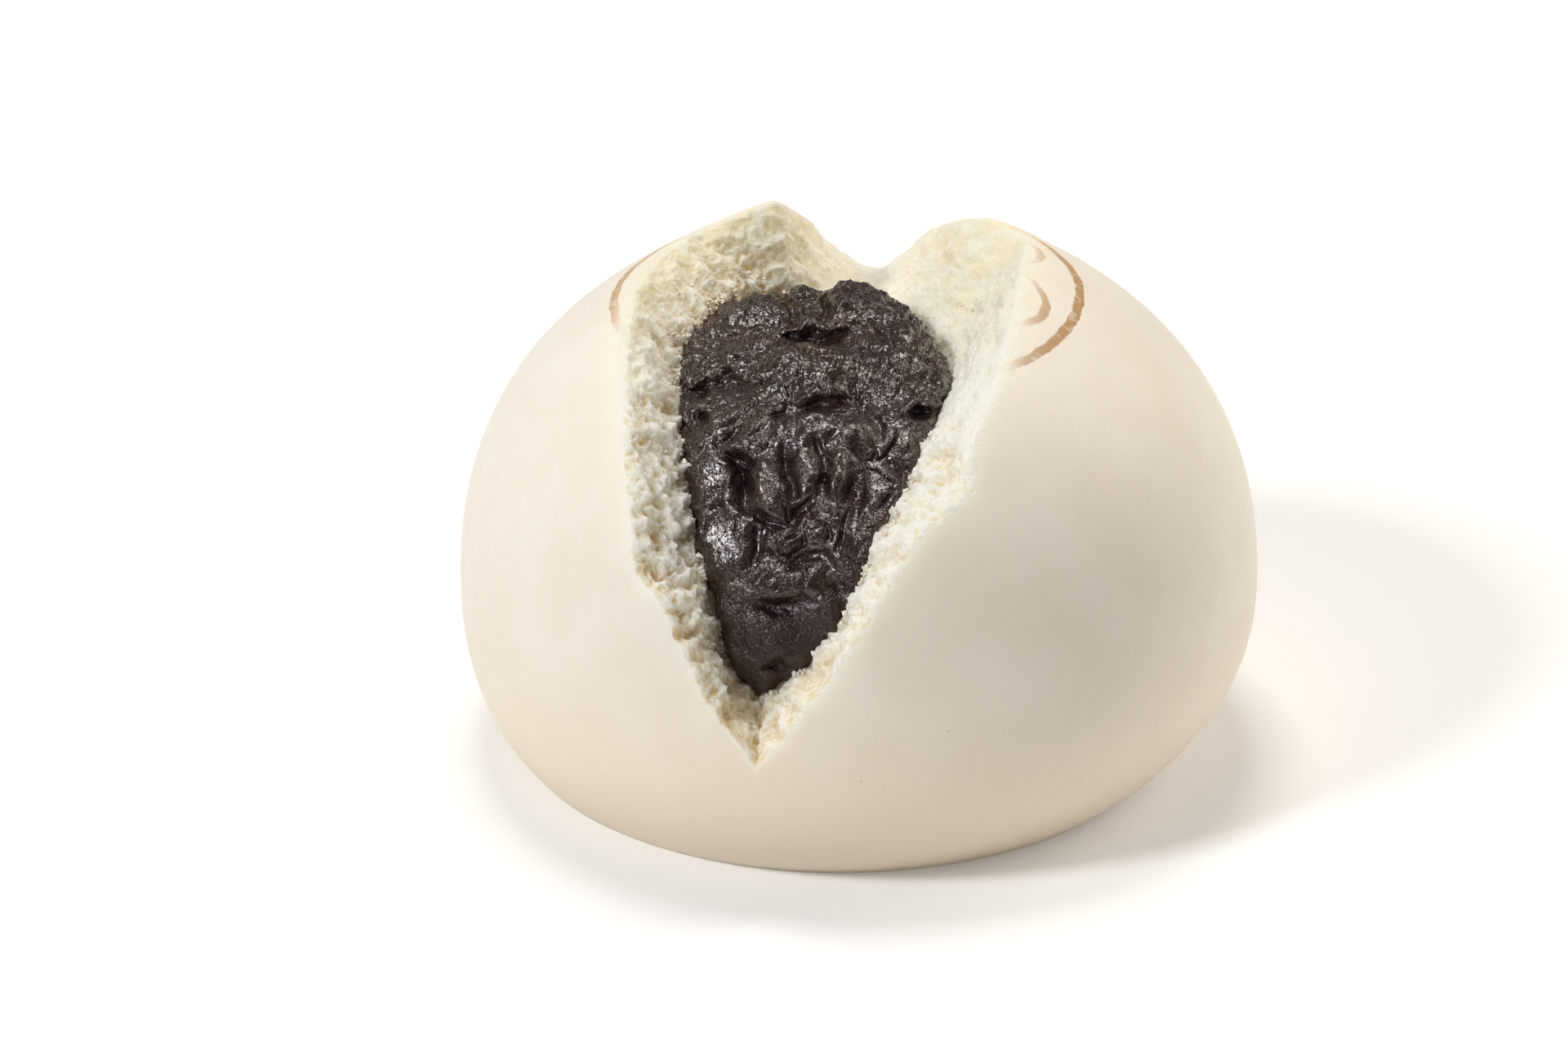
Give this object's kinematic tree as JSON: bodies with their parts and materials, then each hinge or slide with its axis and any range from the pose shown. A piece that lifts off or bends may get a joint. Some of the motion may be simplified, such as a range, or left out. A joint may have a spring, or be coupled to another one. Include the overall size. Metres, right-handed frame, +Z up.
{
  "type": "red bean bun",
  "caption": "Steamed white bun torn open from its front over the crown, with a dark sweet bean filling showing between the two crumb walls.",
  "frame": {"origin": "middle of the flat underside, on the surface the bun stands on", "axes": "+Z up, from the underside to the crown; -Y towards the front, where the tear has its lowest tip; +X to the right as seen from the front, along the widest side of the bun"},
  "size_m": [0.0896, 0.0868, 0.0565],
  "materials": {
    "steamed_dough": "matte steamed skin outside, open white crumb where it is torn",
    "bean_filling": "moist, softly glossy, folded and grainy"
  },
  "bodies": {
    "root": {"bun_dough": "steamed_dough", "bean_paste": "bean_filling"}
  },
  "joints": []
}
